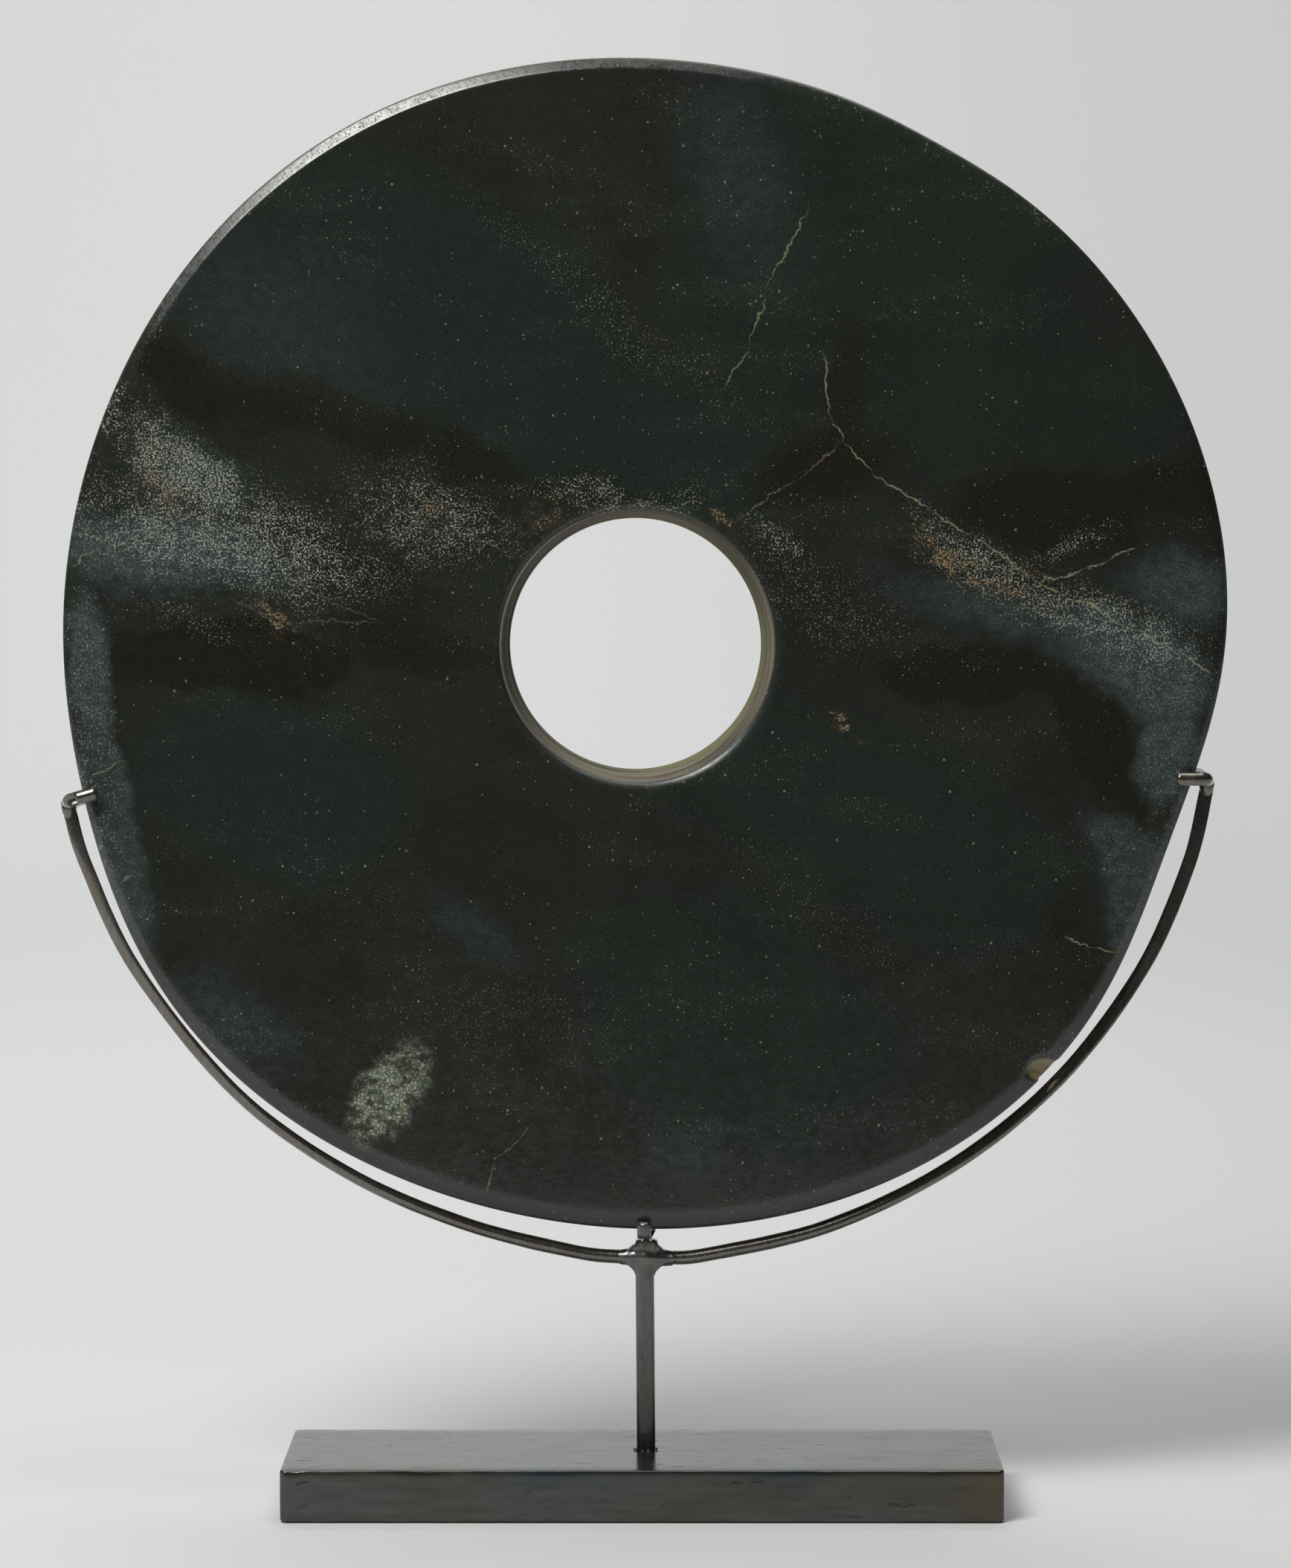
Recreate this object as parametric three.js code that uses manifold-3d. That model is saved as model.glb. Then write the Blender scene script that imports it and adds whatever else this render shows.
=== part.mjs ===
// A large plain jade bi disc standing in its steel display mount.
// Millimetres, +Z up, the disc's front looks towards -Y.
// The origin is the middle of the base bar's underside.
import * as THREE from "three";
import { mergeVertices } from "three/addons/utils/BufferGeometryUtils.js";
import Module from "manifold-3d";

const wasm = await Module();
wasm.setup();

// Driving dimensions.

const GAP = 0.3; // between pieces that touch

// Base: a flat steel bar with eased edges.
const BASE = { width: 152, depth: 50, height: 11, cornerRadius: 1.4, ease: 0.5 };

// Disc: a ring of jade in a plane across Y. centreX and centreZ are the middle of the mean outline.
const DISC = { centreX: -0.8, centreZ: 183.3, radius: 120.85, thickness: 13 };
// The rim's bevel turns over at a middle line that lies turnWidth in and turnDepth down.
const RIM = { bevelWidth: 2.3, bevelDepth: 1.6, turnWidth: 0.1, turnDepth: 1.25, crown: 0.35 };
const BORE = { centreX: -1.4, frontRadius: 28.9, backRadius: 26.7, ease: 0.5 };

// The outline was ground by hand: four long swells stand out of the round, and three flats cut into it.
// at and spread are degrees round the disc, from +X towards +Z, and height is radial.
const GROUND = [
  { at: 26, height: 4.7, spread: 45 },
  { at: 59, height: -0.9, spread: 9 },
  { at: 122, height: 4.15, spread: 37 },
  { at: 197, height: -1.95, spread: 18 },
  { at: 219, height: 4.45, spread: 33 },
  { at: 303.5, height: 4.95, spread: 45 },
  { at: 339.5, height: -5.15, spread: 17 },
];

// Mount: round rod for the arms and the saddle, square bar for the stem.
const ROD_RADIUS = 1.5;
const ROD_BEND = 1.9; // how far before and after a corner the rod bends
const STEM = { width: 4, footX: 0.8, headX: 0.5 };

// The brazed head at the stem's top: a fillet runs from each shoulder to a stub that meets an arm,
// and webs rise from the stubs to the saddle's seat.
const HEAD = { shoulderZ: 49.1, leftX: -4.6, rightX: 6.3, armZ: 52.4, rightSag: 0.3 };
const SEAT = { leftX: -1.15, rightX: 3.05, webX: 3.65, z: 55.4 };
const ARM_JOINT_BEAD = 0.25; // how far the brazed bead stands out of the rod at a claw's joint

// Each arm's rod follows the disc's edge: its stations round the disc, in degrees, and its axis there.
const LEFT_ARM = {
  stations: [
    { at: 264, reach: 130.4 },
    { at: 253, reach: 129.1 },
    { at: 241, reach: 128.7 },
    { at: 228, reach: 128.4 },
    { at: 213, reach: 127.4 },
    { at: 202, reach: 126.5 },
    { at: 196.8, reach: 126 },
  ],
  top: { x: -122, z: 149.6 },
  front: { x: -120.7, z: 150.7 },
  rear: { x: -120.7, z: 149.7 },
  rise: 16,
  clawLength: 4.2,
};
const RIGHT_ARM = {
  stations: [
    { at: 276.5, reach: 131.1 },
    { at: 288, reach: 130.6 },
    { at: 301, reach: 129.8 },
    { at: 314, reach: 128.9 },
    { at: 327, reach: 127.6 },
    { at: 338, reach: 126.0 },
    { at: 345.3, reach: 124.6 },
  ],
  top: { x: 120, z: 154.2 },
  front: { x: 118.9, z: 155.2 },
  rear: { x: 118.9, z: 155.2 },
  rise: 0,
  clawLength: 4.6,
};

// Saddle: a U of rod, turned a little on the head.
const SADDLE = { x: 0.95, turn: 3.8, legTopZ: 60 };

// Flatness of the curves.
const DISC_STEPS = 128;
const ROD_SIDES = 12;
const ARM_STEPS = 36;
const CLIP_STEPS = 28;
const SADDLE_STEPS = 24;

// Worked out from the driving dimensions.

const discFront = -DISC.thickness / 2;
const discBack = DISC.thickness / 2;
const clawY = DISC.thickness / 2 + GAP + ROD_RADIUS; // the claws and saddle legs, from the middle
const discLowestZ = DISC.centreZ - outlineRadius(270);

// The ground outline's radius at an angle in degrees.
function outlineRadius(degrees) {
  let radius = DISC.radius;
  for (const { at, height, spread } of GROUND) {
    const away = THREE.MathUtils.euclideanModulo(degrees - at + 180, 360) - 180;
    radius += height * Math.exp(-((away / spread) ** 2));
  }
  return radius;
}

// A point in the arms' plane, at an angle in degrees round the disc.
function aroundDisc({ at, reach }) {
  const angle = THREE.MathUtils.degToRad(at);
  return new THREE.Vector3(
    DISC.centreX + reach * Math.cos(angle),
    0,
    DISC.centreZ + reach * Math.sin(angle),
  );
}

// Geometry helpers.

// A closed geometry as a solid that can be joined or cut.
function solidOf(geometry) {
  const bare = geometry.index ? geometry.toNonIndexed() : geometry.clone();
  bare.deleteAttribute("normal");
  bare.deleteAttribute("uv");
  const merged = mergeVertices(bare, 1e-4);
  return new wasm.Manifold(
    new wasm.Mesh({
      numProp: 3,
      vertProperties: merged.attributes.position.array,
      triVerts: new Uint32Array(merged.index.array),
    }),
  );
}

// Closed geometries joined to one.
function joined(...geometries) {
  const solid = geometries.map(solidOf).reduce((all, next) => all.add(next));
  const { vertProperties, triVerts } = solid.getMesh();
  const geometry = new THREE.BufferGeometry();
  geometry.setAttribute("position", new THREE.BufferAttribute(new Float32Array(vertProperties), 3));
  geometry.setIndex(new THREE.BufferAttribute(new Uint32Array(triVerts), 1));
  geometry.computeVertexNormals();
  return geometry;
}

// A round rod along a curve.
function rodAlong(curve, steps) {
  const section = new THREE.Shape().absarc(0, 0, ROD_RADIUS, 0, 2 * Math.PI);
  return new THREE.ExtrudeGeometry(section, {
    extrudePath: curve,
    steps,
    curveSegments: ROD_SIDES / 2,
  });
}

// A ball that rounds a rod's end or fills its joint.
function ballAt(point, radius = ROD_RADIUS) {
  return new THREE.SphereGeometry(radius, ROD_SIDES, ROD_SIDES / 2).translate(...point);
}

// A path through corners, each rounded by a bend of the given size.
function bentPath(corners, bend) {
  const path = new THREE.CurvePath();
  let from = corners[0];
  for (let i = 1; i < corners.length - 1; i++) {
    const into = corners[i].clone().sub(corners[i - 1]).setLength(bend);
    const out = corners[i + 1].clone().sub(corners[i]).setLength(bend);
    const start = corners[i].clone().sub(into);
    const end = corners[i].clone().add(out);
    path.add(new THREE.LineCurve3(from, start));
    path.add(new THREE.QuadraticBezierCurve3(start, corners[i], end));
    from = end;
  }
  path.add(new THREE.LineCurve3(from, corners.at(-1)));
  return path;
}

// Pieces.

function jadeDisc() {
  const { bevelWidth, bevelDepth, turnWidth, turnDepth, crown } = RIM;
  const faceEnd = DISC.radius - bevelWidth;
  const shoulder = discBack - bevelDepth;
  const section = [
    new THREE.Vector2(BORE.frontRadius + BORE.ease, discFront),
    new THREE.Vector2(faceEnd, discFront),
    new THREE.Vector2(DISC.radius - turnWidth, discFront + turnDepth),
    new THREE.Vector2(DISC.radius, -shoulder),
    new THREE.Vector2(DISC.radius + crown, 0),
    new THREE.Vector2(DISC.radius, shoulder),
    new THREE.Vector2(DISC.radius - turnWidth, discBack - turnDepth),
    new THREE.Vector2(faceEnd, discBack),
    new THREE.Vector2(BORE.backRadius + BORE.ease, discBack),
    new THREE.Vector2(BORE.backRadius, discBack - BORE.ease),
    new THREE.Vector2(BORE.frontRadius, discFront + BORE.ease),
  ];
  section.push(section[0].clone());
  const geometry = new THREE.LatheGeometry(section, DISC_STEPS);
  const position = geometry.attributes.position;
  for (let i = 0; i < position.count; i++) {
    const x = position.getX(i);
    const z = position.getZ(i);
    const r = Math.hypot(x, z);
    const outward = THREE.MathUtils.clamp((r - BORE.frontRadius) / (faceEnd - BORE.frontRadius), 0, 1);
    const ground = outlineRadius(THREE.MathUtils.radToDeg(Math.atan2(z, x))) - DISC.radius;
    const scale = 1 + (outward * ground) / r;
    const offsetX = (1 - outward) * (BORE.centreX - DISC.centreX);
    position.setX(i, x * scale + offsetX + DISC.centreX);
    position.setZ(i, z * scale + DISC.centreZ);
  }
  return geometry;
}

function baseBar() {
  const { width, depth, height, cornerRadius, ease } = BASE;
  const x = width / 2 - ease;
  const y = depth / 2 - ease;
  const r = cornerRadius;
  const outline = new THREE.Shape()
    .moveTo(-x + r, -y)
    .lineTo(x - r, -y)
    .absarc(x - r, -y + r, r, -Math.PI / 2, 0)
    .lineTo(x, y - r)
    .absarc(x - r, y - r, r, 0, Math.PI / 2)
    .lineTo(-x + r, y)
    .absarc(-x + r, y - r, r, Math.PI / 2, Math.PI)
    .lineTo(-x, -y + r)
    .absarc(-x + r, -y + r, r, Math.PI, 1.5 * Math.PI);
  return new THREE.ExtrudeGeometry(outline, {
    depth: height - 2 * ease,
    bevelThickness: ease,
    bevelSize: ease,
    bevelSegments: 3,
    curveSegments: 5,
  }).translate(0, 0, ease);
}

// The stem and its brazed head are one outline in the arms' plane, as deep as the square bar.
function stem() {
  const half = STEM.width / 2;
  const { shoulderZ, leftX, rightX, armZ, rightSag } = HEAD;
  const stubLowZ = armZ - ROD_RADIUS;
  const stubHighZ = armZ + ROD_RADIUS;
  const outline = new THREE.Shape()
    .moveTo(STEM.footX - half, BASE.height)
    .lineTo(STEM.footX + half, BASE.height)
    .lineTo(STEM.headX + half, shoulderZ)
    .quadraticCurveTo(STEM.headX + half, stubLowZ, rightX, stubLowZ - rightSag)
    .lineTo(rightX, stubHighZ - rightSag)
    .quadraticCurveTo(SEAT.webX, stubHighZ, SEAT.rightX, SEAT.z)
    .lineTo(SEAT.leftX, SEAT.z)
    .lineTo(leftX, stubHighZ)
    .lineTo(leftX, stubLowZ)
    .quadraticCurveTo(STEM.headX - half, stubLowZ, STEM.headX - half, shoulderZ);
  return new THREE.ExtrudeGeometry(outline, {
    depth: STEM.width,
    bevelEnabled: false,
    curveSegments: 8,
  })
    .rotateX(Math.PI / 2)
    .translate(0, half, 0);
}

// A bent arm with its two claws: one lies over the disc's front edge, its twin behind.
function arm({ stations, top, front, rear, rise, clawLength }, startX, inward) {
  const start = new THREE.Vector3(startX, 0, HEAD.armZ);
  const end = new THREE.Vector3(top.x, 0, top.z);
  const sweep = new THREE.CatmullRomCurve3([start, ...stations.map(aroundDisc), end]);
  const climb = THREE.MathUtils.degToRad(rise);
  const claw = new THREE.Vector3(inward * Math.cos(climb), 0, Math.sin(climb)).multiplyScalar(clawLength);
  const frontCorner = new THREE.Vector3(front.x, -clawY, front.z);
  const rearCorner = new THREE.Vector3(rear.x, clawY, rear.z);
  const frontTip = frontCorner.clone().add(claw);
  const rearTip = rearCorner.clone().add(claw);
  const clip = bentPath([frontTip, frontCorner, end, rearCorner, rearTip], ROD_BEND);
  return joined(
    rodAlong(sweep, ARM_STEPS),
    rodAlong(clip, CLIP_STEPS),
    ballAt(frontTip),
    ballAt(rearTip),
    ballAt(end, ROD_RADIUS + ARM_JOINT_BEAD),
  );
}

function saddle() {
  const barZ = discLowestZ - GAP - ROD_RADIUS;
  const corners = [
    new THREE.Vector3(0, -clawY, SADDLE.legTopZ),
    new THREE.Vector3(0, -clawY, barZ),
    new THREE.Vector3(0, clawY, barZ),
    new THREE.Vector3(0, clawY, SADDLE.legTopZ),
  ];
  const rod = rodAlong(bentPath(corners, ROD_BEND), SADDLE_STEPS);
  return joined(rod, ballAt(corners[0]), ballAt(corners.at(-1)))
    .rotateZ(THREE.MathUtils.degToRad(-SADDLE.turn))
    .translate(SADDLE.x, 0, 0);
}

// Finishes.

const jade = new THREE.MeshStandardMaterial({ color: 0x222a27, roughness: 0.35, metalness: 0 });
const patinatedSteel = new THREE.MeshStandardMaterial({ color: 0x45453f, roughness: 0.4, metalness: 0.85 });
const patinatedRod = new THREE.MeshStandardMaterial({ color: 0x33302b, roughness: 0.35, metalness: 0.85 });

// The whole object.

const object = new THREE.Group();

function place(name, geometry, material) {
  const mesh = new THREE.Mesh(geometry, material);
  mesh.name = name;
  object.add(mesh);
}

place("base_bar", baseBar(), patinatedSteel);
place("stem", stem(), patinatedRod);
place("left_arm", arm(LEFT_ARM, HEAD.leftX - GAP, 1), patinatedRod);
place("right_arm", arm(RIGHT_ARM, HEAD.rightX + GAP, -1), patinatedRod);
place("saddle", saddle(), patinatedRod);
place("jade_disc", jadeDisc(), jade);

export default object;
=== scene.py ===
"""A large plain jade bi disc standing in its steel display mount. Metres, +Z up, front towards -Y."""

import math

import bmesh
import bpy
from mathutils import Matrix, Vector, geometry, noise


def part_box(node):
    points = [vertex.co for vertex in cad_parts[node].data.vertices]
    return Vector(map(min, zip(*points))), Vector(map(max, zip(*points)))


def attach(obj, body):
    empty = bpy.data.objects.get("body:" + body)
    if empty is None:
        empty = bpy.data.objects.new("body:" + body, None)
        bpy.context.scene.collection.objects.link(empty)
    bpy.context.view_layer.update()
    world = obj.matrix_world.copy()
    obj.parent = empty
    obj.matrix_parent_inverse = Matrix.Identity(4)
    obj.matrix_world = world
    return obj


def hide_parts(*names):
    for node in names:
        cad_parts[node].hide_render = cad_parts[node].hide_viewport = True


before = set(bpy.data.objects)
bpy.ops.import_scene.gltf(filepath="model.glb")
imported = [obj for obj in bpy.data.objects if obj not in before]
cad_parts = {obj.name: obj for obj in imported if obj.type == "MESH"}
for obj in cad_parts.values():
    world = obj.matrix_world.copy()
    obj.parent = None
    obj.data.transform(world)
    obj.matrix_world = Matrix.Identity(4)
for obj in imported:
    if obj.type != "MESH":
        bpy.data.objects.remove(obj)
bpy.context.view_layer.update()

# The base bar: a length of flat steel, sawn square, its corners and edges eased with a file, then
# blackened and waxed. The stem is welded into the middle of its top.

MM = 0.001
EASE = 0.5 * MM
CORNER = 1.4 * MM
EDGE_BAND = 1.2 * MM
BASE_CUTS = (90, 16, 5)  # parts along, across and up, fine enough for the wavering edges
# each nick's place along the front's upper edge, its depth and its reach, in millimetres
NICKS = [(-73.5, 0.3, 1.4), (-46, 0.1, 2.2), (-17, 0.08, 1.5), (38.5, 0.16, 0.9), (61, 0.1, 2.4),
         (11, 0.08, 2)]


def pick(piece, kind, wanted):
    """In edit mode, selects only those verts, edges or faces of the piece that the test takes."""
    bpy.ops.mesh.select_mode(type={"verts": "VERT", "edges": "EDGE", "faces": "FACE"}[kind])
    bpy.ops.mesh.select_all(action="DESELECT")
    mesh = bmesh.from_edit_mesh(piece.data)
    for part in getattr(mesh, kind):
        if wanted(part):
            part.select_set(True)
    mesh.select_flush_mode()
    bmesh.update_edit_mesh(piece.data)


def add_block(name, low, high):
    """A box between two corners, its object at the origin."""
    bpy.ops.object.select_all(action="DESELECT")
    low, high = Vector(low), Vector(high)
    bpy.ops.mesh.primitive_cube_add(size=1, location=(low + high) / 2, scale=high - low)
    block = bpy.context.object
    block.name = name
    bpy.ops.object.transform_apply(location=True, rotation=True, scale=True)
    return block


def finish_with(piece, kind, **settings):
    """Adds a modifier to the piece and applies it."""
    bpy.context.view_layer.objects.active = piece
    modifier = piece.modifiers.new(kind.lower(), kind)
    for setting, value in settings.items():
        setattr(modifier, setting, value)
    bpy.ops.object.modifier_apply(modifier=modifier.name)


def ripple(name, size, depth=2):
    """A soft rolling texture for surfaces that were filed, hammered or ground by hand."""
    texture = bpy.data.textures.new(name, "CLOUDS")
    texture.noise_scale = size
    texture.noise_depth = depth
    return texture


low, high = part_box("base_bar")
base = add_block("base_bar_filed", low, high)
bpy.ops.object.mode_set(mode="EDIT")
pick(base, "edges", lambda e: abs(e.verts[0].co.z - e.verts[1].co.z) > 5 * MM)
bpy.ops.mesh.bevel(offset=CORNER, segments=6, affect="EDGES")
pick(base, "edges", lambda e: abs(e.verts[0].co.z - e.verts[1].co.z) < 1e-6
     and len(e.link_faces) == 2 and abs(e.calc_face_angle(0)) > 1.2)
bpy.ops.mesh.bevel(offset=EASE, segments=4, affect="EDGES")
for axis, cuts in enumerate(BASE_CUTS):
    for cut in range(1, cuts):
        where, facing = [0, 0, 0], [0, 0, 0]
        where[axis] = low[axis] + cut * (high[axis] - low[axis]) / cuts
        facing[axis] = 1
        bpy.ops.mesh.select_all(action="SELECT")
        bpy.ops.mesh.bisect(plane_co=where, plane_no=facing)
bpy.ops.object.mode_set(mode="OBJECT")
# the filed edges waver a little and carry a few nicks
mid_z = (low.z + high.z) / 2
for vertex in base.data.vertices:
    co = vertex.co
    # how far the vertex lies inside the band along each pair of faces, in millimetres
    inward_x = max(0, abs(co.x) - (high.x - EDGE_BAND)) / MM
    inward_y = max(0, abs(co.y) - (high.y - EDGE_BAND)) / MM
    inward_z = max(0, abs(co.z - mid_z) - ((high.z - low.z) / 2 - EDGE_BAND)) / MM
    near_edges = (inward_x > 0.3) + (inward_y > 0.3) + (inward_z > 0.3)
    if near_edges < 2:
        continue
    middle = Vector((co.x * 0.97, co.y * 0.9, mid_z))
    give = 0.05 * MM * (1 + noise.noise(co * 160))
    if co.y < 0 and co.z > mid_z:
        for at, deep, reach in NICKS:
            give += deep * MM * math.exp(-(((co.x / MM - at) / reach) ** 2))
    vertex.co = co + (middle - co).normalized() * give
bpy.ops.object.select_all(action="DESELECT")
base.select_set(True)
bpy.context.view_layer.objects.active = base
bpy.ops.object.shade_smooth_by_angle(angle=math.radians(32))


def linear(red, green, blue):
    """A colour named in screen steps of 0 to 255, as the light values that shaders take."""
    steps = [c / 255 for c in (red, green, blue)]
    return (*[c / 12.92 if c <= 0.04045 else ((c + 0.055) / 1.055) ** 2.4 for c in steps], 1.0)


def add(tree, kind, inputs=None, **settings):
    """Adds a node, sets it up, and gives its sockets values or links."""
    node = tree.nodes.new(kind)
    for setting, value in settings.items():
        setattr(node, setting, value)
    for socket, value in (inputs or {}).items():
        if isinstance(value, bpy.types.NodeSocket):
            tree.links.new(value, node.inputs[socket])
        else:
            node.inputs[socket].default_value = value
    return node


def sums(tree, operation, first, second=0.0):
    """One sum of two numbers."""
    return add(tree, "ShaderNodeMath", {0: first, 1: second}, operation=operation).outputs[0]


def ramp(tree, value, start, end, low=0.0, high=1.0):
    """A smooth step: low below start, high past end."""
    return add(tree, "ShaderNodeMapRange",
               {"Value": value, "From Min": start, "From Max": end, "To Min": low, "To Max": high},
               interpolation_type="SMOOTHSTEP").outputs[0]


def blend(tree, share, under, over, mode="MIX"):
    """One colour over another."""
    return add(tree, "ShaderNodeMix", {0: share, 6: under, 7: over}, data_type="RGBA",
               blend_type=mode).outputs[2]


def clouds(tree, place, size, detail=3.0, rough=0.55, stretch=(1, 1, 1), turn=(0, 0, 0)):
    """Rolling noise with lumps of the given size in millimetres."""
    spot = add(tree, "ShaderNodeMapping", {"Vector": place, "Rotation": turn, "Scale": stretch})
    return add(tree, "ShaderNodeTexNoise", {"Vector": spot.outputs[0], "Scale": 1 / size,
                                            "Detail": detail, "Roughness": rough})


def new_material(name):
    """A material with its shader, and its place on the object in millimetres."""
    material = bpy.data.materials.new(name)
    material.use_nodes = True
    tree = material.node_tree
    shader = tree.nodes["Principled BSDF"]
    coordinates = add(tree, "ShaderNodeTexCoord")
    place = add(tree, "ShaderNodeMapping", {"Vector": coordinates.outputs["Object"], "Scale": (1000,) * 3})
    return material, tree, shader, place.outputs[0]


def new_group(name, inputs, outputs):
    """A node group with named number, vector or colour sockets."""
    group = bpy.data.node_groups.new(name, "ShaderNodeTree")
    kinds = {"number": "NodeSocketFloat", "vector": "NodeSocketVector", "colour": "NodeSocketColor"}
    for label, kind in inputs.items():
        group.interface.new_socket(label, in_out="INPUT", socket_type=kinds[kind])
    for label, kind in outputs.items():
        group.interface.new_socket(label, in_out="OUTPUT", socket_type=kinds[kind])
    entry = group.nodes.new("NodeGroupInput").outputs
    leave = group.nodes.new("NodeGroupOutput").inputs
    return group, entry, leave


def use_group(tree, group, inputs):
    """Places a node group in a tree."""
    node = tree.nodes.new("ShaderNodeGroup")
    node.node_tree = group
    for socket, value in inputs.items():
        if isinstance(value, bpy.types.NodeSocket):
            tree.links.new(value, node.inputs[socket])
        else:
            node.inputs[socket].default_value = value
    return node


# Heat and wax leave blackened steel mottled: grey ground, straw and brown bloom, blue in places.
bloom, bloom_in, bloom_out = new_group(
    "steel_bloom",
    {"Place": "vector", "Size": "number", "Ground": "colour", "Brown": "colour", "Blue": "colour",
     "Brown share": "number", "Blue share": "number"},
    {"Colour": "colour", "Unevenness": "number"})
bloom_spot = add(bloom, "ShaderNodeVectorMath",
                 {"Scale": sums(bloom, "DIVIDE", 1.0, bloom_in["Size"]), 0: bloom_in["Place"]},
                 operation="SCALE")
bloom_wide = clouds(bloom, bloom_spot.outputs[0], 1.0, detail=4.0, stretch=(0.45, 1, 1.6))
bloom_other = clouds(bloom, bloom_spot.outputs[0], 0.8, detail=4.0, stretch=(0.5, 1, 1.4),
                     turn=(0.3, 0.2, 0.5))
bloom_fine = clouds(bloom, bloom_spot.outputs[0], 0.16, detail=5.0, rough=0.7, stretch=(0.35, 1, 2.2))
brown_mask = sums(bloom, "MULTIPLY", ramp(bloom, bloom_wide.outputs[0], 0.42, 0.66), bloom_in["Brown share"])
blue_mask = sums(bloom, "MULTIPLY", ramp(bloom, bloom_other.outputs[0], 0.48, 0.68), bloom_in["Blue share"])
bloom_colour = blend(bloom, blue_mask, blend(bloom, brown_mask, bloom_in["Ground"], bloom_in["Brown"]),
                     bloom_in["Blue"])
bloom_shade = ramp(bloom, bloom_fine.outputs[0], 0.3, 0.7, 0.82, 1.2)
bloom_grey = add(bloom, "ShaderNodeCombineColor", {0: bloom_shade, 1: bloom_shade, 2: bloom_shade}).outputs[0]
bloom.links.new(blend(bloom, 1.0, bloom_colour, bloom_grey, "MULTIPLY"), bloom_out["Colour"])
bloom.links.new(bloom_fine.outputs[0], bloom_out["Unevenness"])

base_steel, tree, shader, place = new_material("base_steel_blackened")
coat = use_group(tree, bloom, {"Place": place, "Size": 26.0, "Ground": linear(83, 85, 82),
                               "Brown": linear(76, 72, 62), "Blue": linear(62, 70, 78),
                               "Brown share": 0.7, "Blue share": 0.7})
# the right-hand end keeps a rusty bloom, and the file's marks run along the bar
spot = add(tree, "ShaderNodeSeparateXYZ", {0: place})
end_bloom = sums(tree, "MULTIPLY", ramp(tree, spot.outputs[0], 62.0, 75.0),
                 ramp(tree, clouds(tree, place, 5.0, stretch=(0.3, 1, 2.5)).outputs[0], 0.35, 0.6))
colour = blend(tree, sums(tree, "MULTIPLY", end_bloom, 0.5), coat.outputs["Colour"], linear(92, 84, 66))
marks = clouds(tree, place, 1.1, detail=4.0, rough=0.65, stretch=(0.05, 1, 1))
pits = clouds(tree, place, 1.7, detail=2.0, rough=0.5, stretch=(0.32, 1.1, 1.1))
pit_ground = clouds(tree, place, 15.0, detail=2.0)
pit_mask = sums(tree, "MULTIPLY", ramp(tree, pits.outputs[0], 0.64, 0.7),
                ramp(tree, pit_ground.outputs[0], 0.48, 0.66))
colour = blend(tree, sums(tree, "MULTIPLY", pit_mask, 0.5), colour, linear(40, 40, 38))
tree.links.new(colour, shader.inputs["Base Color"])
shader.inputs["Metallic"].default_value = 0.85
tree.links.new(sums(tree, "ADD", ramp(tree, coat.outputs["Unevenness"], 0.3, 0.7, 0.14, 0.24),
                    sums(tree, "MULTIPLY", pit_mask, 0.25)), shader.inputs["Roughness"])
surface = sums(tree, "SUBTRACT", sums(tree, "MULTIPLY", marks.outputs[0], 0.25), pit_mask)
bump = add(tree, "ShaderNodeBump", {"Strength": 0.18, "Distance": 0.0002, "Height": surface})
tree.links.new(bump.outputs[0], shader.inputs["Normal"])
base.data.materials.clear()
base.data.materials.append(base_steel)
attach(base, "root")
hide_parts("base_bar")

# The stem: a length of 4 mm square bar welded upright on the base. Its top is one smooth brazed head, where
# both arms and the saddle's seat flow together.

STEM_FOOT_X, STEM_HEAD_X = 0.8 * MM, 0.5 * MM
STEM_HALF = 2.0 * MM
STEM_TOP_Z = 52.0 * MM
# the square fillets under the head: x, z and size in millimetres
FILLETS = [(-1.3, 50.2, 1.5), (-1.9, 50.9, 1.6), (-2.7, 51.4, 1.3), (2.4, 50.0, 1.5), (3.0, 50.7, 1.6),
           (3.8, 51.2, 1.3), (-1.1, 49.3, 1.0), (2.2, 49.1, 1.0)]
# the drops of weld round the stem's foot: x, y and how long each is
BURRS = [(-1.35, -1.9, 1.5), (-1.5, 0.4, 1.6), (2.9, -1.7, 1.3), (2.95, 0.9, 1.1), (0.1, -2.1, 1.4),
         (1.4, -2.05, 1.9), (0.8, 2.05, 2.2)]


def mm(*values):
    """A point given in millimetres."""
    return tuple(value * MM for value in values)


def add_cone(name, start, end, wide, narrow, sides=24):
    """A round bar from start to end that may taper."""
    bpy.ops.object.select_all(action="DESELECT")
    start, end = Vector(start), Vector(end)
    bpy.ops.mesh.primitive_cone_add(
        vertices=sides, radius1=wide, radius2=narrow, depth=(end - start).length, location=(start + end) / 2,
        rotation=(end - start).to_track_quat("Z", "Y").to_euler())
    cone = bpy.context.object
    cone.name = name
    bpy.ops.object.transform_apply(location=True, rotation=True, scale=True)
    return cone


def add_ball(name, centre, radius, stretch=(1, 1, 1), segments=20):
    """A ball, or a drop of braze when it is stretched."""
    bpy.ops.object.select_all(action="DESELECT")
    bpy.ops.mesh.primitive_uv_sphere_add(segments=segments, ring_count=segments // 2, radius=radius,
                                         location=centre, scale=stretch)
    ball = bpy.context.object
    ball.name = name
    bpy.ops.object.transform_apply(location=True, rotation=True, scale=True)
    return ball


def join(name, *pieces):
    """Several meshes in one object, the first one's."""
    bpy.ops.object.select_all(action="DESELECT")
    for piece in pieces:
        piece.select_set(True)
    bpy.context.view_layer.objects.active = pieces[0]
    bpy.ops.object.join()
    pieces[0].name = name
    return pieces[0]


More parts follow.
